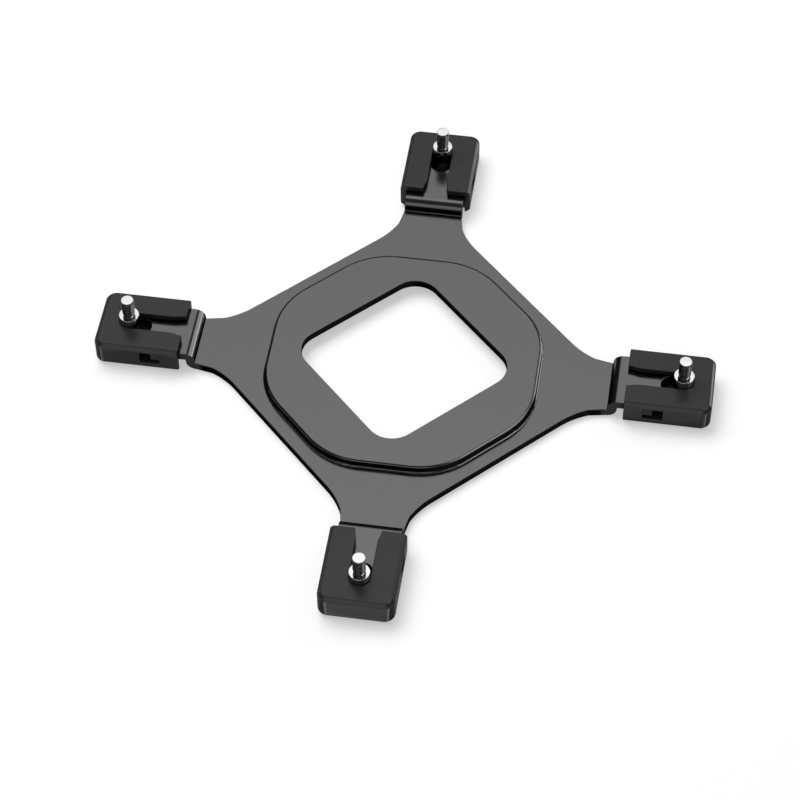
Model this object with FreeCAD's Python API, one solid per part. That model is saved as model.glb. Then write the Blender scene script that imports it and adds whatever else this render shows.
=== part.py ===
"""A stamped backplate with a sliding stud block on each of its four arms.

Millimetres, +Z up. The origin is at the middle of the plate, on the plane that the plate's underside and
the blocks rest on. An arm and what it carries is modelled along +X and then turned to its corner.
"""
import FreeCAD, Part
import math
import os

from FreeCAD import Vector

# Where the studs stand
STUD_PITCH = 78.0            # side of the square of studs, with the blocks drawn out
PITCH_STEP = 3.0             # how much smaller that square gets with the blocks pushed in

# Sheet metal
SHEET_T = 1.8
SIDE_INSET = 9.0             # from a row of studs in to the plate's straight side
ARM_ROOT_R = 16.0            # hollow curve from a straight side into an arm
ARM_WAIST = 5.36             # nearest that the hollow curve's circle comes to the arm's middle line
NECK_FLARE = 0.65            # each side of an arm at its root, past the tongue's side
TONGUE_W = 12.0
BEND_R = 0.2                 # inside of both bends
STEP_WALL = 0.3              # straight wall between the two bends
NECK_GAP = 1.18              # from the first bend to the block when it is pushed in
LUG_LENGTH = 1.88
LUG_OUT = 0.9                # how far a lug stands out from the tongue's side
FORK_BACK = 0.73             # fork's tips, short of the stud when the block is pushed in
TIP_R = 0.5                  # outer corners of the fork

# Raised panel
RIM_W = 3.15                 # flat rim from the plate's straight side to the panel
PANEL_SIDES = 8
PANEL_CORNER_R = 15.0
PANEL_RISE = 1.7
PANEL_WALL = 1.5             # panel's side wall, from the outside to the hollow under it
PANEL_EDGE_R = 0.4           # along the panel's top edge and its foot
OPENING_SIDE = 32.0
OPENING_CORNER_R = 5.2

# Corner block
BLOCK_IN = 11.0              # from the stud to the block's inner end
BLOCK_OUT = 6.0              # from the stud to the block's outer end
CHEEK_T = 1.15
ROOF_T = 1.13
TOP_BEVEL = 0.7
BASE_BEVEL = 0.8
BLOCK_CORNER_R = 2.1         # upright corners at the outer end
WINDOW_INSET = 3.7           # from the block's inner end to the window in a cheek
SLOT_FLARE = 0.45            # each side of the slot in the roof, at its mouth
SLOT_FLARE_LENGTH = 2.85

# Clearances
SIDE_GAP = 0.15              # tongue's side to a cheek
ROOF_GAP = 0.37              # tongue's top to the roof
FLOOR_GAP = 0.5              # tongue's underside to the floor
END_GAP = 0.2                # what the sliding block stops short of, at its far end
STUD_GAP = 0.05              # round the stud's shoulder, and round its head
NOTCH_GAP = 0.2              # round the shoulder in the fork's notch

# Stud
PIN_D = 2.5
PIN_LENGTH = 4.29
PIN_CHAMFER = 0.08
SHOULDER_D = 4.0
SHOULDER_PROUD = 1.64        # shoulder above the block's top
SHOULDER_CHAMFER = 0.1
HEAD_FLATS = 6.0
HEAD_H = 1.3
HEAD_SUNK = 0.1              # head's face, up inside the block's underside

# Worked out along an arm, from the middle of the plate
stud_at = STUD_PITCH / math.sqrt(2)
travel = PITCH_STEP / math.sqrt(2)
block_inner = stud_at - BLOCK_IN
block_outer = stud_at + BLOCK_OUT
bend_outer_r = BEND_R + SHEET_T
first_bend_at = block_inner - travel - NECK_GAP
wall_in = first_bend_at + BEND_R
wall_out = wall_in + SHEET_T
second_bend_at = wall_out + BEND_R
lug_in = block_inner + WINDOW_INSET
lug_out = lug_in + LUG_LENGTH
window_out = lug_out + travel
fork_tip = stud_at - travel - FORK_BACK
floor_in = wall_out + travel + END_GAP
pocket_end = fork_tip + travel + END_GAP

# Worked out up from the underside
tongue_low = BEND_R + STEP_WALL + bend_outer_r
tongue_top = tongue_low + SHEET_T
panel_top = SHEET_T + PANEL_RISE
pocket_low = tongue_low - FLOOR_GAP
pocket_top = tongue_top + ROOF_GAP
block_top = pocket_top + ROOF_T
head_seat = HEAD_SUNK + HEAD_H
shoulder_top = block_top + SHOULDER_PROUD
pin_top = shoulder_top + PIN_LENGTH

# Worked out across an arm and round the stud
tongue_half = TONGUE_W / 2
pocket_half = tongue_half + SIDE_GAP
block_half = pocket_half + CHEEK_T
shoulder_r = SHOULDER_D / 2
bore_r = shoulder_r + STUD_GAP
notch_r = shoulder_r + NOTCH_GAP
side_at = STUD_PITCH / 2 - SIDE_INSET
panel_apothem = side_at - RIM_W

UP = Vector(0, 0, 1)
MIDDLE = Vector(0, 0, 0)
ARMS = 4
ARM_TURN = 360 / ARMS
ARM_ANGLE = 45.0             # from +X to the first arm
CORNERS = ("ne", "nw", "sw", "se")
OVERRUN = 1.0                # how far a cut runs past what it cuts
NEAR = 0.001


class Outline:
    """A run of straight lines and arcs, drawn from point to point and then closed."""

    def __init__(self, start):
        self.start = start
        self.last = start
        self.edges = []

    def line(self, end):
        self.edges.append(Part.makeLine(self.last, end))
        self.last = end

    def arc(self, middle, end):
        self.edges.append(Part.Arc(self.last, middle, end).toShape())
        self.last = end

    def face(self):
        if self.last.distanceToPoint(self.start) > Part.Precision.confusion():
            self.line(self.start)
        return Part.Face(Part.Wire(self.edges))


def polar(radius, degrees, z=0.0):
    angle = math.radians(degrees)
    return Vector(radius * math.cos(angle), radius * math.sin(angle), z)


def turned(point, degrees):
    return FreeCAD.Rotation(UP, degrees).multVec(point)


def box(x, y, z):
    """A box from its (low, high) pair in each direction."""
    size = [high - low for low, high in (x, y, z)]
    return Part.makeBox(*size, Vector(x[0], y[0], z[0]))


def same_edges(shape, pattern):
    """Edges of a shape that lie on the pattern's edges."""
    middles = [edge.CenterOfMass for edge in pattern.Edges]
    return [
        edge for edge in shape.Edges
        if any(edge.CenterOfMass.distanceToPoint(middle) < NEAR for middle in middles)
    ]


def lifted(shape, z):
    return shape.translated(Vector(0, 0, z))


def rounded_polygon(sides, apothem, corner_r, first_side):
    """A regular polygon's face with rounded corners; first_side is the way one side faces, in degrees."""
    half_angle = math.pi / sides
    corner_at = apothem / math.cos(half_angle)
    trim = corner_r * math.tan(half_angle)
    arc_in = corner_r / math.cos(half_angle) - corner_r
    outline = None
    for side in range(sides):
        facing = first_side + side * 360 / sides
        corner_facing = facing + 180 / sides
        corner = polar(corner_at, corner_facing)
        before = corner + polar(trim, facing - 90)
        after = corner + polar(trim, facing + 360 / sides + 90)
        if outline is None:
            outline = Outline(before)
        else:
            outline.line(before)
        outline.arc(corner - polar(arc_in, corner_facing), after)
    return outline.face()


def arm_curve():
    """Hollow curve on the arm's left: its start on the side, its middle and its end at the arm's root."""
    circle_y = ARM_WAIST + ARM_ROOT_R
    circle_x = (side_at + ARM_ROOT_R) * math.sqrt(2) - circle_y
    centre = Vector(circle_x, circle_y, 0)
    root_y = tongue_half + NECK_FLARE
    root_x = circle_x - math.sqrt(ARM_ROOT_R**2 - (circle_y - root_y)**2)
    root = Vector(root_x, root_y, 0)
    start = centre - polar(ARM_ROOT_R, 45)
    half_way = (start + root) / 2 - centre
    half_way.multiply(ARM_ROOT_R / half_way.Length)
    return start, centre + half_way, root


def mirrored(point):
    return Vector(point.x, -point.y, point.z)


def plate_outline():
    """The flat pattern as it shows from above, with its arms along X and Y."""
    start, half_way, root = arm_curve()
    tip_y = math.sqrt(notch_r**2 - FORK_BACK**2)
    notch_deep = fork_tip + FORK_BACK - notch_r
    lug_y = tongue_half + LUG_OUT
    tip_mid_x = fork_tip - TIP_R * (1 - math.sqrt(0.5))
    tip_mid_y = tongue_half - TIP_R * (1 - math.sqrt(0.5))
    outline = None
    for arm in range(ARMS):
        def place(x, y):
            return turned(Vector(x, y, 0), ARM_TURN * arm)

        def on_arm(point):
            return place(point.x, point.y)

        if outline is None:
            outline = Outline(on_arm(mirrored(start)))
        else:
            outline.line(on_arm(mirrored(start)))
        outline.arc(on_arm(mirrored(half_way)), on_arm(mirrored(root)))
        outline.line(place(first_bend_at, -tongue_half))
        outline.line(place(lug_in, -tongue_half))
        outline.line(place(lug_in, -lug_y))
        outline.line(place(lug_out, -lug_y))
        outline.line(place(lug_out, -tongue_half))
        outline.line(place(fork_tip - TIP_R, -tongue_half))
        outline.arc(place(tip_mid_x, -tip_mid_y), place(fork_tip, TIP_R - tongue_half))
        outline.line(place(fork_tip, -tip_y))
        outline.arc(place(notch_deep, 0), place(fork_tip, tip_y))
        outline.line(place(fork_tip, tongue_half - TIP_R))
        outline.arc(place(tip_mid_x, tip_mid_y), place(fork_tip - TIP_R, tongue_half))
        outline.line(place(lug_out, tongue_half))
        outline.line(place(lug_out, lug_y))
        outline.line(place(lug_in, lug_y))
        outline.line(place(lug_in, tongue_half))
        outline.line(place(first_bend_at, tongue_half))
        outline.line(on_arm(root))
        outline.arc(on_arm(half_way), on_arm(start))
    return outline.face()


def bend_middle(bend_x, bend_z, radius, degrees):
    angle = math.radians(degrees)
    return Vector(bend_x + radius * math.cos(angle), 0, bend_z + radius * math.sin(angle))


def bent_strip():
    """The sheet's path up into the tongue, seen from the side, and wide enough for any arm."""
    low_z = bend_outer_r
    high_z = low_z + STEP_WALL
    strip = Outline(Vector(first_bend_at, 0, 0))
    strip.arc(bend_middle(first_bend_at, low_z, bend_outer_r, -45), Vector(wall_out, 0, low_z))
    strip.line(Vector(wall_out, 0, high_z))
    strip.arc(bend_middle(second_bend_at, high_z, BEND_R, 135), Vector(second_bend_at, 0, tongue_low))
    strip.line(Vector(fork_tip + OVERRUN, 0, tongue_low))
    strip.line(Vector(fork_tip + OVERRUN, 0, tongue_top))
    strip.line(Vector(second_bend_at, 0, tongue_top))
    strip.arc(bend_middle(second_bend_at, high_z, bend_outer_r, 135), Vector(wall_in, 0, high_z))
    strip.line(Vector(wall_in, 0, low_z))
    strip.arc(bend_middle(first_bend_at, low_z, BEND_R, -45), Vector(first_bend_at, 0, SHEET_T))
    half_width = tongue_half + LUG_OUT + OVERRUN
    return strip.face().translated(Vector(0, -half_width, 0)).extrude(Vector(0, 2 * half_width, 0))


def make_backplate():
    reach = (-first_bend_at, first_bend_at)
    sheet = box(reach, reach, (0, SHEET_T))
    strip = bent_strip()
    for arm in range(ARMS):
        sheet = sheet.fuse(strip.rotated(MIDDLE, UP, ARM_TURN * arm))
    plate = plate_outline().extrude(UP * tongue_top).common(sheet).removeSplitter()

    foot = rounded_polygon(PANEL_SIDES, panel_apothem, PANEL_CORNER_R, 0)
    edge_r = min(PANEL_EDGE_R, PANEL_RISE * 0.45, SHEET_T * 0.45)
    panel = foot.extrude(UP * panel_top)
    panel = panel.makeFillet(edge_r, same_edges(panel, lifted(foot, panel_top)))
    plate = plate.fuse(panel).removeSplitter()
    plate = plate.makeFillet(edge_r, same_edges(plate, lifted(foot, SHEET_T)))

    mouth = rounded_polygon(PANEL_SIDES, panel_apothem - PANEL_WALL, PANEL_CORNER_R - PANEL_WALL, 0)
    hollow = mouth.extrude(UP * PANEL_RISE)
    hollow = hollow.makeFillet(edge_r, same_edges(hollow, lifted(mouth, PANEL_RISE)))
    plate = plate.cut(hollow)
    plate = plate.makeFillet(edge_r, same_edges(plate, mouth))

    opening = rounded_polygon(4, OPENING_SIDE / 2, OPENING_CORNER_R, ARM_ANGLE)
    plate = plate.cut(opening.extrude(UP * panel_top))
    return plate.rotated(MIDDLE, UP, ARM_ANGLE)


def block_outline():
    """The block from above, with round upright corners at its outer end."""
    far = block_outer - BLOCK_CORNER_R
    side = block_half - BLOCK_CORNER_R
    bulge = BLOCK_CORNER_R * math.sqrt(0.5)
    outline = Outline(Vector(block_inner, -block_half, 0))
    outline.line(Vector(far, -block_half, 0))
    outline.arc(Vector(far + bulge, -side - bulge, 0), Vector(block_outer, -side, 0))
    outline.line(Vector(block_outer, side, 0))
    outline.arc(Vector(far + bulge, side + bulge, 0), Vector(far, block_half, 0))
    outline.line(Vector(block_inner, block_half, 0))
    return outline.face()


def slot_outline():
    """The slot in the roof: flared at its mouth, with its round end about the stud."""
    mouth = block_inner
    throat = mouth + SLOT_FLARE_LENGTH
    half = bore_r + SLOT_FLARE
    curve_r = (SLOT_FLARE_LENGTH**2 + SLOT_FLARE**2) / (4 * SLOT_FLARE)
    quarter = SLOT_FLARE_LENGTH / 4
    dip = curve_r - math.sqrt(curve_r**2 - quarter**2)
    waist = Vector((mouth + throat) / 2, half - SLOT_FLARE / 2, 0)
    near = Vector(mouth + quarter, half - dip, 0)
    far = Vector(throat - quarter, bore_r + dip, 0)
    outline = Outline(Vector(mouth - OVERRUN, -half, 0))
    outline.line(Vector(mouth, -half, 0))
    outline.arc(mirrored(near), mirrored(waist))
    outline.arc(mirrored(far), Vector(throat, -bore_r, 0))
    outline.line(Vector(stud_at, -bore_r, 0))
    outline.arc(Vector(stud_at + bore_r, 0, 0), Vector(stud_at, bore_r, 0))
    outline.line(Vector(throat, bore_r, 0))
    outline.arc(far, waist)
    outline.arc(near, Vector(mouth, half, 0))
    outline.line(Vector(mouth - OVERRUN, half, 0))
    return outline.face()


def hexagon(across_flats):
    """A hexagon's face about the stud, with two flats along the block's sides."""
    corner_at = across_flats / math.sqrt(3)
    points = [polar(corner_at, 60 * corner) + Vector(stud_at, 0, 0) for corner in range(7)]
    return Part.Face(Part.makePolygon(points))


def make_block():
    plan = block_outline()
    block = plan.extrude(UP * block_top)
    rim = [edge for edge in plan.Edges if edge.CenterOfMass.x > block_inner + NEAR]
    top_rim = Part.Compound([lifted(edge, block_top) for edge in rim])
    block = block.makeChamfer(min(TOP_BEVEL, ROOF_T * 0.9), same_edges(block, top_rim))
    block = block.makeChamfer(BASE_BEVEL, same_edges(block, Part.Compound(rim)))

    inside = (-pocket_half, pocket_half)
    mouth = block_inner - OVERRUN
    pocket = box((mouth, pocket_end), inside, (pocket_low, pocket_top))
    under_step = box((mouth, floor_in), inside, (-OVERRUN, pocket_top))
    across = (-block_half - OVERRUN, block_half + OVERRUN)
    window = box((lug_in, window_out), across, (pocket_low, pocket_top))
    slot = lifted(slot_outline(), pocket_low).extrude(UP * (block_top - pocket_low + OVERRUN))
    bore = Part.makeCylinder(bore_r, block_top + OVERRUN, Vector(stud_at, 0, 0))
    head_room = hexagon(HEAD_FLATS + 2 * STUD_GAP).extrude(UP * head_seat)
    return block.cut([pocket, under_step, window, slot, bore, head_room]).removeSplitter()


def make_stud():
    pin_r = PIN_D / 2
    profile = Outline(Vector(0, 0, head_seat))
    profile.line(Vector(shoulder_r, 0, head_seat))
    profile.line(Vector(shoulder_r, 0, shoulder_top - SHOULDER_CHAMFER))
    profile.line(Vector(shoulder_r - SHOULDER_CHAMFER, 0, shoulder_top))
    profile.line(Vector(pin_r, 0, shoulder_top))
    profile.line(Vector(pin_r, 0, pin_top - PIN_CHAMFER))
    profile.line(Vector(pin_r - PIN_CHAMFER, 0, pin_top))
    profile.line(Vector(0, 0, pin_top))
    turned_part = profile.face().revolve(MIDDLE, UP, 360).translated(Vector(stud_at, 0, 0))
    head = lifted(hexagon(HEAD_FLATS), HEAD_SUNK).extrude(UP * HEAD_H)
    return turned_part.fuse(head).removeSplitter()


def save(node, shape):
    """Writes one closed solid to its own file."""
    solids = shape.Solids
    if len(solids) != 1 or not shape.isValid():
        raise ValueError(f"{node} is not one valid solid")
    solids[0].exportStep(f"parts/{node}.step")
    print(node, "volume", round(shape.Volume, 2), "faces", len(shape.Faces))


def main():
    os.makedirs("parts", exist_ok=True)
    save("backplate", make_backplate())
    block = make_block()
    stud = make_stud()
    for index, corner in enumerate(CORNERS):
        angle = ARM_ANGLE + ARM_TURN * index
        save(f"corner_block_{corner}", block.rotated(MIDDLE, UP, angle))
        save(f"stud_{corner}", stud.rotated(MIDDLE, UP, angle))
    print("travel", round(travel, 4), "stud at", round(stud_at, 4), "pin top", round(pin_top, 3))


main()
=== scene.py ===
"""The looks of the mounting bracket: finishes, fine edges, threads, floor, light and camera."""

import math

import bmesh
import bpy
from mathutils import Matrix, Vector


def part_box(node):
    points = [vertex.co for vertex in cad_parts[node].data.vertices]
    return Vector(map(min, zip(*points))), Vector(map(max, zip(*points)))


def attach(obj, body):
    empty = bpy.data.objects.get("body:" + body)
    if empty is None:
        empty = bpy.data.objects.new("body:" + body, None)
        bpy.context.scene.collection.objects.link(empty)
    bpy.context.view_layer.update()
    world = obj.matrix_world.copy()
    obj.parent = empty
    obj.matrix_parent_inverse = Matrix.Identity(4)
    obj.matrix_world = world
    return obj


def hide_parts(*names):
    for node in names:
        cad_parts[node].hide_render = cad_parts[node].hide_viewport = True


MM = 0.001                   # everything is in metres, with +Z up

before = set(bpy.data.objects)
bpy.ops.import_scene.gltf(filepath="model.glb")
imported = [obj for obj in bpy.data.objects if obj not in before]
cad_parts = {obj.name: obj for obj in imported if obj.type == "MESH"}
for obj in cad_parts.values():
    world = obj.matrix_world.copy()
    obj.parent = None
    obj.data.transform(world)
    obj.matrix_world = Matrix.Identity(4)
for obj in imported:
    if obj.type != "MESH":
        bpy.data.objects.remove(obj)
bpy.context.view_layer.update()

BLOCKS = sorted(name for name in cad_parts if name.startswith("corner_block_"))
STUDS = sorted(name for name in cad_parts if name.startswith("stud_"))


# A stud, up from its foot
STUD_AT = 39.0 * MM          # from the middle of the bracket, along each side
HEAD_LOW = 0.1 * MM
HEAD_HIGH = 1.4 * MM
HEAD_ACROSS = 6.0 * MM
HEAD_EASE = 0.12 * MM
SHOULDER_R = 2.0 * MM
SHOULDER_TOP = 7.44 * MM
SHOULDER_EASE = 0.08 * MM
PIN_R = 1.25 * MM
PIN_TOP = 11.73 * MM
PIN_EASE = 0.09 * MM
TIP_PLAIN = 0.2 * MM         # above the thread
RELIEF = 0.22 * MM           # below the thread
THREAD_PITCH = 0.45 * MM
THREAD_DEPTH = 0.24 * MM
THREAD_CREST = 1 / 16        # half a crest's width, as a share of the pitch
THREAD_ROOT = 3 / 8          # from a crest's middle to the root, as a share of the pitch
RUN_IN = 1.0                 # turns in which the thread rises from the relief
RUN_OUT = 0.5                # turns in which its groove runs out into the plain tip


# Shading

BUMP_HEIGHT = 0.02 * MM


def grey(level):
    return (level, level, level, 1)


class Value:
    """A node's output, so that shader sums are written as plain Python."""

    def __init__(self, shading, socket):
        self.shading = shading
        self.socket = socket

    def maths(self, operation, *terms):
        sockets = dict(enumerate(terms))
        return self.shading.node("ShaderNodeMath", {"operation": operation}, sockets)

    def __add__(self, other):
        return self.maths("ADD", self, other)

    def __radd__(self, other):
        return self.maths("ADD", other, self)

    def __sub__(self, other):
        return self.maths("SUBTRACT", self, other)

    def __rsub__(self, other):
        return self.maths("SUBTRACT", other, self)

    def __mul__(self, other):
        return self.maths("MULTIPLY", self, other)

    def __rmul__(self, other):
        return self.maths("MULTIPLY", other, self)

    def __pow__(self, other):
        return self.maths("POWER", self, other)

    def __abs__(self):
        return self.maths("ABSOLUTE", self)

    def between(self, low, high):
        """0 below low, 1 above high, and a soft step from one to the other."""
        settings = {"interpolation_type": "SMOOTHSTEP"}
        sockets = {"Value": self, "From Min": low, "From Max": high}
        return self.shading.node("ShaderNodeMapRange", settings, sockets)


class Shading:
    """The nodes of one material or of the world."""

    def __init__(self, owner):
        owner.use_nodes = True
        self.tree = owner.node_tree
        self.tree.nodes.clear()

    def node(self, kind, settings=None, sockets=None, out=0):
        """A node of a kind: its settings are made first, then its sockets' values or links."""
        made = self.tree.nodes.new(kind)
        for name, value in (settings or {}).items():
            if name == "stops":
                self.set_stops(made.color_ramp, value)
            else:
                setattr(made, name, value)
        for name, value in (sockets or {}).items():
            if isinstance(value, Value):
                self.tree.links.new(value.socket, made.inputs[name])
            else:
                made.inputs[name].default_value = value
        if len(made.outputs) == 0:
            return None
        return Value(self, made.outputs[out])

    def set_stops(self, ramp, stops):
        while len(ramp.elements) > 1:
            ramp.elements.remove(ramp.elements[-1])
        for index, (place, level) in enumerate(stops):
            stop = ramp.elements[0] if index == 0 else ramp.elements.new(place)
            stop.position = place
            stop.color = grey(level)

    def colour(self, red, green, blue):
        sockets = {"Red": red, "Green": green, "Blue": blue}
        return self.node("ShaderNodeCombineColor", None, sockets)

    def axes(self, vector, names):
        """The named components of a vector, one value each."""
        sockets = {"Vector": vector}
        return [self.node("ShaderNodeSeparateXYZ", None, sockets, out=axis) for axis in names]

    def mix(self, factor, first, second):
        return self.node("ShaderNodeMixShader", None, {0: factor, 1: first, 2: second})

    def place(self):
        """Where a point is, in the object's own space."""
        return self.node("ShaderNodeTexCoord", out="Object")

    def grain(self, scale, detail=2.0):
        """Even grain in the object's own space; scale is in grains for each metre."""
        sockets = {"Vector": self.place(), "Scale": scale, "Detail": detail}
        return self.node("ShaderNodeTexNoise", None, sockets)

    def bump(self, strength, height):
        sockets = {"Strength": strength, "Distance": BUMP_HEIGHT, "Height": height}
        return self.node("ShaderNodeBump", None, sockets)

    def show(self, surface):
        self.node("ShaderNodeOutputMaterial", None, {"Surface": surface})


def new_material(name):
    material = bpy.data.materials.new(name)
    return material, Shading(material)


# Black coat on the sheet. A finish's fine grain raises it, and its broad clouds are added to
# its level, which is how much light it gives back, and to its roughness.
COAT_GRAIN = 2600
COAT_BUMP = 0.02
COAT_CLOUDS = 160
COAT_LEVEL = 0.152
COAT_LEVEL_CLOUDS = 0.006
COAT_ROUGH = 0.17
COAT_ROUGH_CLOUDS = 0.05
COAT_EDGE_ON = 0.55          # tint of what a face mirrors when it is seen edge on

# Its cut edges, which are duller. Faces are taken for this by how upright they are, so the steep
# formed walls get its near black too, which is painted shade there.
CUT_LEVEL = 0.004
CUT_PAINTED_LIGHT_TOWARD_X = 0.018   # painted light on the edges that face +X
CUT_PAINTED_LIGHT_ON_TONGUES = 0.09        # painted light on the tongues' sides between the arms and the blocks
CUT_ROUGH = 0.6
TOWARD_X = (0.75, 0.95)      # share of an edge's normal that points to +X
FACE_UPRIGHT = (0.25, 0.6)   # share of a face's normal that points up or down

TONGUE_FROM = (55.5 * MM, 57.5 * MM)     # |x| + |y| where the arms turn into tongues
TONGUE_TO = (61.5 * MM, 63.0 * MM)       # and where the blocks begin
TONGUE_SIDE = (8.1 * MM, 8.4 * MM)       # difference of |x| and |y| at a tongue's sides
LUG_END = (9.2 * MM, 9.5 * MM)           # and at its lugs' ends


def make_coated_steel():
    """Black coat on sheet steel: a smooth dark sheen on the faces, dull black on cut edges and, as
    painted shade, on steep formed walls, with painted light on some cut edges.
    """
    material, shade = new_material("coated_steel")
    fine = shade.grain(COAT_GRAIN)
    clouds = shade.grain(COAT_CLOUDS)
    bump = shade.bump(COAT_BUMP, fine)
    level = COAT_LEVEL + COAT_LEVEL_CLOUDS * clouds
    face = shade.node("ShaderNodeBsdfPrincipled", None, {
        "Base Color": shade.colour(level, level, level),
        "Metallic": 1.0,
        "Specular Tint": grey(COAT_EDGE_ON),
        "Roughness": COAT_ROUGH + COAT_ROUGH_CLOUDS * clouds,
        "Normal": bump,
    })

    x, y = shade.axes(shade.place(), "XY")
    along = abs(x) + abs(y)
    across = abs(abs(x) - abs(y))
    # The tongues' sides between the arms and the blocks get painted light; inside the blocks they
    # stay black
    in_block = along.between(*TONGUE_TO) * (1 - across.between(*LUG_END))
    open_tongue = along.between(*TONGUE_FROM) - in_block
    normal = shade.node("ShaderNodeNewGeometry", out="True Normal")
    toward_x, upright = shade.axes(normal, "XZ")
    # The cut edges that face +X get painted light
    painted_light_toward_x = CUT_PAINTED_LIGHT_TOWARD_X * toward_x.between(*TOWARD_X)
    cut_level = CUT_LEVEL + painted_light_toward_x + CUT_PAINTED_LIGHT_ON_TONGUES * open_tongue * across.between(*TONGUE_SIDE)
    cut = shade.node("ShaderNodeBsdfPrincipled", None, {
        "Base Color": shade.colour(cut_level, cut_level, cut_level),
        "Roughness": CUT_ROUGH,
        "Specular IOR Level": 0.0,
        "Normal": bump,
    })
    # Steep faces, cut or formed, take the dull black; on the formed walls this is painted shade
    shade.show(shade.mix(abs(upright).between(*FACE_UPRIGHT), cut, face))
    return material


# Moulded plastic
PLASTIC_GRAIN = 4200
PLASTIC_GRAIN_DETAIL = 3.0
PLASTIC_BUMP = 0.08
PLASTIC_CLOUDS = 300
PLASTIC_LEVEL = 0.024
PLASTIC_LEVEL_CLOUDS = 0.004
PLASTIC_ROUGH = 0.6          # of its body
GLOSS_ROUGH = 0.24           # of what it mirrors
GLOSS_ROUGH_CLOUDS = 0.08

# Share of mirrored light on it, as a surface turns from facing the eye (0) to edge on (1). Its
# rise towards edge on is the plastic's gloss; its bumps are painted highlights and its dips
# painted shade on faces turned those ways.
PLASTIC_GLOSS_AND_PAINTED_HIGHLIGHTS = [
    (0.0, 0.052), (0.1, 0.049), (0.17, 0.030), (0.2, 0.026), (0.24, 0.028), (0.3, 0.030),
    (0.34, 0.022), (0.352, 0.031), (0.371, 0.030), (0.379, 0.018), (0.425, 0.046),
    (0.445, 0.055), (0.463, 0.14), (0.475, 0.14), (0.492, 0.02), (0.52, 0.014),
    (0.64, 0.016), (0.82, 0.07), (1.0, 0.16),
]


def make_moulded_black():
    """Black moulded plastic with a fine even grain, its gloss partly painted highlight and shade.
    """
    material, shade = new_material("moulded_black")
    fine = shade.grain(PLASTIC_GRAIN, detail=PLASTIC_GRAIN_DETAIL)
    clouds = shade.grain(PLASTIC_CLOUDS)
    bump = shade.bump(PLASTIC_BUMP, fine)
    level = PLASTIC_LEVEL + PLASTIC_LEVEL_CLOUDS * clouds
    body = shade.node("ShaderNodeBsdfPrincipled", None, {
        "Base Color": shade.colour(level, level, level),
        "Roughness": PLASTIC_ROUGH,
        "Specular IOR Level": 0.0,
        "Normal": bump,
    })
    gloss = shade.node("ShaderNodeBsdfPrincipled", None, {
        "Base Color": grey(1.0),
        "Metallic": 1.0,
        "Roughness": GLOSS_ROUGH + GLOSS_ROUGH_CLOUDS * clouds,
        "Normal": bump,
    })
    facing = shade.node("ShaderNodeLayerWeight", None, {"Blend": 0.5}, out="Facing")
    # The share's bumps paint highlights, and its dips paint shade, on faces turned those ways to
    # the eye
    share = shade.node("ShaderNodeValToRGB", {"stops": PLASTIC_GLOSS_AND_PAINTED_HIGHLIGHTS}, {"Fac": facing})
    shade.show(shade.mix(share, body, gloss))
    return material


# Nickel plate
NICKEL_CLOUDS = 900
NICKEL_LEVEL = 0.85
NICKEL_GREEN = 0.99          # of red
NICKEL_BLUE = 0.97           # of red
NICKEL_ROUGH = 0.05
NICKEL_ROUGH_CLOUDS = 0.04
# Painted shade down the threads, and on the shoulder's wall below
GROOVE_PAINTED_SHADE = 0.79
GROOVE_ROUGHER = 0.12
CREST_LIGHTER = 0.25         # share of the groove's painted shade that a crest is spared
CREST_DEPTH = 0.3            # share of the thread's depth that counts as crest
WALL_PAINTED_SHADE = 0.25           # painted shade on the shoulder's wall
TONE_STEP = 0.1 * MM         # height over which one tone turns into the next
TIP_STEP = 0.1               # and the same at the tip, as a share of its eased edge


def make_nickel():
    """Bright nickel plate on turned steel, with painted shade down the threads and on the
    shoulder's wall.
    """
    material, shade = new_material("nickel_plate")
    clouds = shade.grain(NICKEL_CLOUDS)
    x, y, z = shade.axes(shade.place(), "XYZ")
    across = abs(x) - STUD_AT
    along = abs(y) - STUD_AT
    radius = (across * across + along * along) ** 0.5
    above_shoulder = z.between(SHOULDER_TOP, SHOULDER_TOP + TONE_STEP)
    at_tip = z.between(PIN_TOP - TIP_STEP * PIN_EASE, PIN_TOP)
    crest = radius.between(PIN_R - CREST_DEPTH * THREAD_DEPTH, PIN_R)
    groove = (above_shoulder - at_tip) * (1 - CREST_LIGHTER * crest)
    above_head = z.between(HEAD_HIGH, HEAD_HIGH + TONE_STEP)
    wall = above_head - z.between(SHOULDER_TOP - SHOULDER_EASE, SHOULDER_TOP)
    # Painted shade: darker down the threads, less on their crests, and on the shoulder's wall
    level = NICKEL_LEVEL - GROOVE_PAINTED_SHADE * groove - WALL_PAINTED_SHADE * wall
    metal = shade.node("ShaderNodeBsdfPrincipled", None, {
        "Base Color": shade.colour(level, NICKEL_GREEN * level, NICKEL_BLUE * level),
        "Metallic": 1.0,
        "Roughness": NICKEL_ROUGH + NICKEL_ROUGH_CLOUDS * clouds + GROOVE_ROUGHER * groove,
    })
    shade.show(metal)
    return material


# Floor, room and lamps

def seen_directly(shade):
    """1 for rays straight from the eye or by way of a mirror or glass, 0 for light that lights."""
    ways = ("Is Camera Ray", "Is Glossy Ray", "Is Transmission Ray")
    camera, glossy, through = [shade.node("ShaderNodeLightPath", out=way) for way in ways]
    return shade.node("ShaderNodeClamp", None, {"Value": camera + glossy + through})


FLOOR_GREY = 0.60            # what the floor shows of the light that falls on it
FLOOR_GLOW = 0.45            # lifts the lit floor to white and leaves the shadow
FLOOR_BOUNCE = 0.35          # what the floor gives back to the object
FLOOR_SIZE = 8.0
FLOOR_Z = -0.02 * MM         # clear of the faces that rest on it


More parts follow.
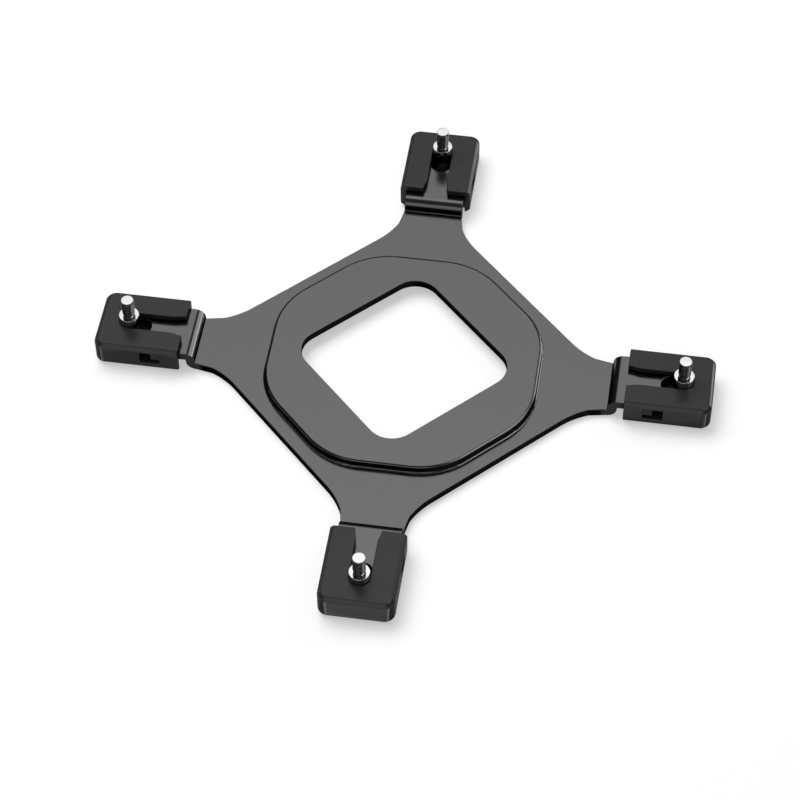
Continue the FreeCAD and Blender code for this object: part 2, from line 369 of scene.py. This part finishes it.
def make_floor():
    material, shade = new_material("pale_floor")
    shown = shade.node("ShaderNodeBsdfDiffuse", None, {"Color": grey(FLOOR_GREY)})
    glow = shade.node("ShaderNodeEmission", None, {"Color": grey(1.0), "Strength": FLOOR_GLOW})
    lit = shade.node("ShaderNodeAddShader", None, {0: shown, 1: glow})
    dull = shade.node("ShaderNodeBsdfDiffuse", None, {"Color": grey(FLOOR_BOUNCE)})
    above = shade.mix(seen_directly(shade), dull, lit)
    below = shade.node("ShaderNodeBsdfTransparent")
    from_below = shade.node("ShaderNodeNewGeometry", out="Backfacing")
    shade.show(shade.mix(from_below, above, below))
    bpy.ops.mesh.primitive_plane_add(size=FLOOR_SIZE, location=(0, 0, FLOOR_Z))
    floor = bpy.context.object
    floor.name = "floor"
    floor.data.materials.append(material)


# Brightness of the room, from the horizon (0) to straight up (1)
ROOM = [(0.0, 0.02), (0.4, 0.03), (0.7, 0.07), (1.0, 0.09)]


def make_room():
    world = bpy.data.worlds.new("studio")
    bpy.context.scene.world = world
    shade = Shading(world)
    way = shade.node("ShaderNodeTexCoord", out="Generated")
    [height] = shade.axes(way, "Z")
    tone = shade.node("ShaderNodeValToRGB", {"stops": ROOM}, {"Fac": height})
    sky = shade.node("ShaderNodeBackground", None, {"Color": tone, "Strength": 1.0})
    shade.node("ShaderNodeOutputWorld", None, {"Surface": sky})


LAMP_DISTANCE = 1.5

# Each lamp's name, azimuth from +X towards +Y, elevation, half width and half height as
# angles in degrees, and its radiance. A white surface mirrors a radiance of 1 as white.
# Then come whether shiny surfaces mirror it and whether it lights dull ones.
LAMPS = [
    ("back_box", 148, 61.5, 15, 22, 0.92, True, True),
    ("back_box_upper", 148, 67.5, 15, 16, 0.13, True, True),
    ("right_box", 91, 20, 12, 20, 1.5, True, True),
    ("right_strip", 91, 4.5, 9, 5, 2.5, True, True),
    ("right_high", 48, 52, 22, 14, 1.9, True, False),
    ("front_box", -50, 25, 25, 19, 0.65, True, True),
    ("key", 188, 60, 24, 20, 4.1, False, True),
    ("fill", 0, 90, 60, 60, 0.13, False, True),
]


def toward(azimuth, elevation):
    """Unit vector; azimuth is from +X towards +Y, in degrees."""
    turn = math.radians(azimuth)
    rise = math.radians(elevation)
    level = math.cos(rise)
    return Vector((math.cos(turn) * level, math.sin(turn) * level, math.sin(rise)))


def make_lamp(name, azimuth, elevation, half_wide, half_tall, radiance, mirrored, lights):
    """A flat lamp that faces the object."""
    width = 2 * LAMP_DISTANCE * math.tan(math.radians(half_wide))
    height = 2 * LAMP_DISTANCE * math.tan(math.radians(half_tall))
    lamp = bpy.data.lights.new(name, "AREA")
    lamp.shape = "RECTANGLE"
    lamp.size = width
    lamp.size_y = height
    lamp.energy = radiance * math.pi * width * height
    holder = bpy.data.objects.new(name, lamp)
    way = toward(azimuth, elevation)
    holder.location = way * LAMP_DISTANCE
    holder.rotation_euler = way.to_track_quat("Z", "Y").to_euler()
    holder.visible_glossy = mirrored
    holder.visible_diffuse = lights
    bpy.context.scene.collection.objects.link(holder)


# Camera

CAMERA_AZIMUTH = 53.996      # from -Y towards +X
CAMERA_ELEVATION = 50.793
CAMERA_ROLL = -0.57
CAMERA_DISTANCE = 516.28 * MM
CAMERA_TARGET = Vector((7.114, -6.211, 1.8)) * MM
FRAME_WIDTH = 800            # pixels
FOCAL_PIXELS = 2636.35
SENSOR = 36.0


def make_camera():
    turn = math.radians(CAMERA_AZIMUTH)
    rise = math.radians(CAMERA_ELEVATION)
    roll = math.radians(CAMERA_ROLL)
    flat = math.cos(rise)
    back = Vector((math.sin(turn) * flat, -math.cos(turn) * flat, math.sin(rise)))
    level = Vector((math.cos(turn), math.sin(turn), 0))
    upright = back.cross(level)
    right = math.cos(roll) * level + math.sin(roll) * upright
    up = math.cos(roll) * upright - math.sin(roll) * level
    data = bpy.data.cameras.new("camera")
    data.sensor_width = SENSOR
    data.lens = FOCAL_PIXELS * SENSOR / FRAME_WIDTH
    camera = bpy.data.objects.new("camera", data)
    place = Matrix.Translation(CAMERA_TARGET + back * CAMERA_DISTANCE)
    camera.matrix_world = place @ Matrix((right, up, back)).transposed().to_4x4()
    bpy.context.scene.collection.objects.link(camera)
    bpy.context.scene.camera = camera


# Shapes

def finish_piece(name, mesh, node, body, material):
    """Puts a finished mesh in place of a node, on the body that carries the node."""
    piece = bpy.data.objects.new(name, mesh)
    bpy.context.scene.collection.objects.link(piece)
    mesh.materials.append(material)
    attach(piece, body)
    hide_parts(node)


SMOOTH_UP_TO = 50.0          # degrees between two faces that still read as one rounded surface


def smooth_mesh(name, shape):
    """A mesh of a shape, shaded so that broad faces stay flat and narrow ones turn between."""
    mesh = bpy.data.meshes.new(name)
    alike = math.cos(math.radians(SMOOTH_UP_TO))
    weighted = {face: face.normal * face.calc_area() for face in shape.faces}
    normals = []
    for face in shape.faces:
        face.smooth = True
        for loop in face.loops:
            near = [
                weighted[other] for other in loop.vert.link_faces
                if other.normal.dot(face.normal) > alike
            ]
            normals.append(sum(near, Vector()).normalized())
    shape.to_mesh(mesh)
    shape.free()
    mesh.normals_split_custom_set(normals)
    return mesh


SAME_POINT = 1e-7
SAME_FACE = 0.5              # degrees between two faces that are one flat face


def node_shape(node):
    """The node's own shape, with its flat faces in one piece."""
    shape = bmesh.new()
    shape.from_mesh(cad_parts[node].data)
    bmesh.ops.remove_doubles(shape, verts=shape.verts, dist=SAME_POINT)
    bmesh.ops.dissolve_limit(
        shape, angle_limit=math.radians(SAME_FACE), verts=shape.verts, edges=shape.edges,
    )
    return shape


PANEL_TOP = 3.5 * MM
PANEL_BEND = 0.4 * MM        # radius of the panel's top edge
PANEL_BEND_REACH = 0.65 * MM
PANEL_SIDE_FROM = 24.0 * MM  # the panel's side wall stands between these distances
PANEL_SIDE_TO = 30.0 * MM    # from the middle


def ease_panel(shape):
    """Lets the panel's top edge turn down more slowly, from further in on the top."""
    moves = {}
    for vertex in shape.verts:
        up = (vertex.co.z - PANEL_TOP + PANEL_BEND) / PANEL_BEND
        if up > 0 and PANEL_SIDE_FROM < vertex.co.xy.length < PANEL_SIDE_TO:
            outward = sum((face.normal for face in vertex.link_faces), Vector()).xy.normalized()
            back = 1 - math.sqrt(max(1 - up * up, 0.0))
            moves[vertex] = -outward.to_3d() * (PANEL_BEND_REACH - PANEL_BEND) * back
    for vertex, move in moves.items():
        vertex.co += move
    shape.normal_update()


EASED_SEGMENTS = 2
EASED_PROFILE = 0.5          # a round edge


def softened_mesh(node, shape, width, sharp_from, wanted=lambda edge: True):
    """A mesh of a node's shape with its wanted sharp edges rounded over by a width."""
    sharp = [
        edge for edge in shape.edges
        if edge.calc_face_angle() > math.radians(sharp_from) and wanted(edge)
    ]
    bmesh.ops.bevel(
        shape, geom=sharp, offset=width, offset_type="OFFSET", segments=EASED_SEGMENTS,
        profile=EASED_PROFILE, affect="EDGES", clamp_overlap=False,
    )
    return smooth_mesh(node + "_finished", shape)


SHEET_EDGE_R = 0.12 * MM
SHEET_SHARP = 60             # degrees at which an edge of the sheet is rounded
BLOCK_EDGE_R = 0.16 * MM
BLOCK_SHARP = 40
BLOCK_RIM_LOW = 0.9 * MM     # a block's foot bevel ends below this
BLOCK_RIM_HIGH = 5.0 * MM    # a block's top bevel starts above this
BLOCK_END_EDGE = 4.0 * MM    # the upright edges of a block's open end are longer than this


def is_block_rim(edge):
    low, high = sorted(vertex.co.z for vertex in edge.verts)
    middle = (low + high) / 2
    return middle < BLOCK_RIM_LOW or middle > BLOCK_RIM_HIGH or high - low > BLOCK_END_EDGE


def thread_radius(z, turn):
    """Radius of the thread's surface at a height, at a share of a turn round the pin."""
    place = (z / THREAD_PITCH - turn) % 1.0
    from_crest = min(place, 1 - place)
    down = (from_crest - THREAD_CREST) / (THREAD_ROOT - THREAD_CREST)
    return PIN_R - THREAD_DEPTH * min(max(down, 0.0), 1.0)


def pin_radius(z, turn):
    """The threaded pin, with a plain tip and a relief over the shoulder."""
    core = PIN_R - THREAD_DEPTH
    above_relief = z - SHOULDER_TOP - RELIEF
    below_tip = PIN_TOP - TIP_PLAIN - z
    if above_relief < 0:
        return core
    if below_tip < 0:
        return PIN_R
    full = thread_radius(z, turn)
    run_in = min(above_relief / (RUN_IN * THREAD_PITCH), 1.0)
    run_out = max(1 - below_tip / (RUN_OUT * THREAD_PITCH), 0.0)
    return core + (full - core) * run_in + (PIN_R - full) * run_out


STUD_COLUMNS = 48
ROWS_PER_TURN = 16
SHOULDER_EASE_STEPS = 3
PIN_EASE_STEPS = 2


def stud_rings():
    """Each ring of the turned part as its height and its radius at a share of a turn."""
    def plain(z, radius):
        return z, lambda turn: radius

    def threaded(z):
        return z, lambda turn: pin_radius(z, turn)

    def quarter(step, steps):
        angle = step / steps * math.pi / 2
        return 1 - math.cos(angle), math.sin(angle)

    foot = HEAD_LOW + HEAD_EASE
    rings = [plain(foot, 0.0), plain(foot, SHOULDER_R)]
    for step in range(SHOULDER_EASE_STEPS + 1):
        back, up = quarter(step, SHOULDER_EASE_STEPS)
        z = SHOULDER_TOP - SHOULDER_EASE + SHOULDER_EASE * up
        rings.append(plain(z, SHOULDER_R - SHOULDER_EASE * back))
    low = SHOULDER_TOP
    high = PIN_TOP - PIN_EASE
    rows = round((high - low) / THREAD_PITCH * ROWS_PER_TURN)
    for row in range(rows + 1):
        rings.append(threaded(low + (high - low) * row / rows))
    for step in range(1, PIN_EASE_STEPS + 1):
        back, up = quarter(step, PIN_EASE_STEPS)
        rings.append(plain(high + PIN_EASE * up, PIN_R - PIN_EASE * back))
    rings.append(plain(PIN_TOP, 0.0))
    return rings


def turn_rings(shape, rings, centre):
    """Closes a run of rings into one turned skin; a ring of radius 0 is a single point."""
    rows = []
    for z, radius_at in rings:
        if radius_at(0.0) == 0.0:
            rows.append([shape.verts.new((centre.x, centre.y, z))])
            continue
        row = []
        for column in range(STUD_COLUMNS):
            turn = column / STUD_COLUMNS
            radius = radius_at(turn)
            angle = 2 * math.pi * turn
            x = centre.x + radius * math.cos(angle)
            y = centre.y + radius * math.sin(angle)
            row.append(shape.verts.new((x, y, z)))
        rows.append(row)
    for lower, upper in zip(rows, rows[1:]):
        for column in range(STUD_COLUMNS):
            after = (column + 1) % STUD_COLUMNS
            corners = [lower[column % len(lower)], lower[after % len(lower)]]
            corners += [upper[after % len(upper)], upper[column % len(upper)]]
            shape.faces.new(list(dict.fromkeys(corners)))


def add_hexagon_head(shape, centre, turn):
    """A hexagon with two flats along its block, its edges eased."""
    corner_at = HEAD_ACROSS / math.sqrt(3)
    low, high = [], []
    for ring, z in ((low, HEAD_LOW), (high, HEAD_HIGH)):
        for corner in range(6):
            angle = turn + math.radians(60 * corner)
            x = centre.x + corner_at * math.cos(angle)
            y = centre.y + corner_at * math.sin(angle)
            ring.append(shape.verts.new((x, y, z)))
    faces = [shape.faces.new(list(reversed(low))), shape.faces.new(high)]
    for corner in range(6):
        after = (corner + 1) % 6
        faces.append(shape.faces.new((low[corner], low[after], high[after], high[corner])))
    edges = list(dict.fromkeys(edge for face in faces for edge in face.edges))
    bmesh.ops.bevel(
        shape, geom=edges, offset=HEAD_EASE, segments=EASED_SEGMENTS,
        profile=EASED_PROFILE, affect="EDGES",
    )


def stud_mesh(node):
    low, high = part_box(node)
    centre = (Vector(low) + Vector(high)) / 2
    shape = bmesh.new()
    turn_rings(shape, stud_rings(), centre)
    add_hexagon_head(shape, centre, math.atan2(centre.y, centre.x))
    bmesh.ops.recalc_face_normals(shape, faces=shape.faces)
    return smooth_mesh(node + "_finished", shape)


# The bracket

coated_steel = make_coated_steel()
moulded_black = make_moulded_black()
nickel = make_nickel()

plate = node_shape("backplate")
ease_panel(plate)
finish_piece(
    "plate_finished", softened_mesh("backplate", plate, SHEET_EDGE_R, SHEET_SHARP),
    "backplate", "plate", coated_steel,
)
for block in BLOCKS:
    corner = block[-2:]
    mesh = softened_mesh(block, node_shape(block), BLOCK_EDGE_R, BLOCK_SHARP, is_block_rim)
    finish_piece(
        "block_" + corner, mesh, block, "slider_" + corner, moulded_black,
    )
for stud in STUDS:
    corner = stud[-2:]
    finish_piece(
        "pin_" + corner, stud_mesh(stud), stud, "slider_" + corner, nickel,
    )

make_floor()
make_room()
for lamp in LAMPS:
    make_lamp(*lamp)
make_camera()

bpy.context.scene.view_settings.view_transform = "Standard"
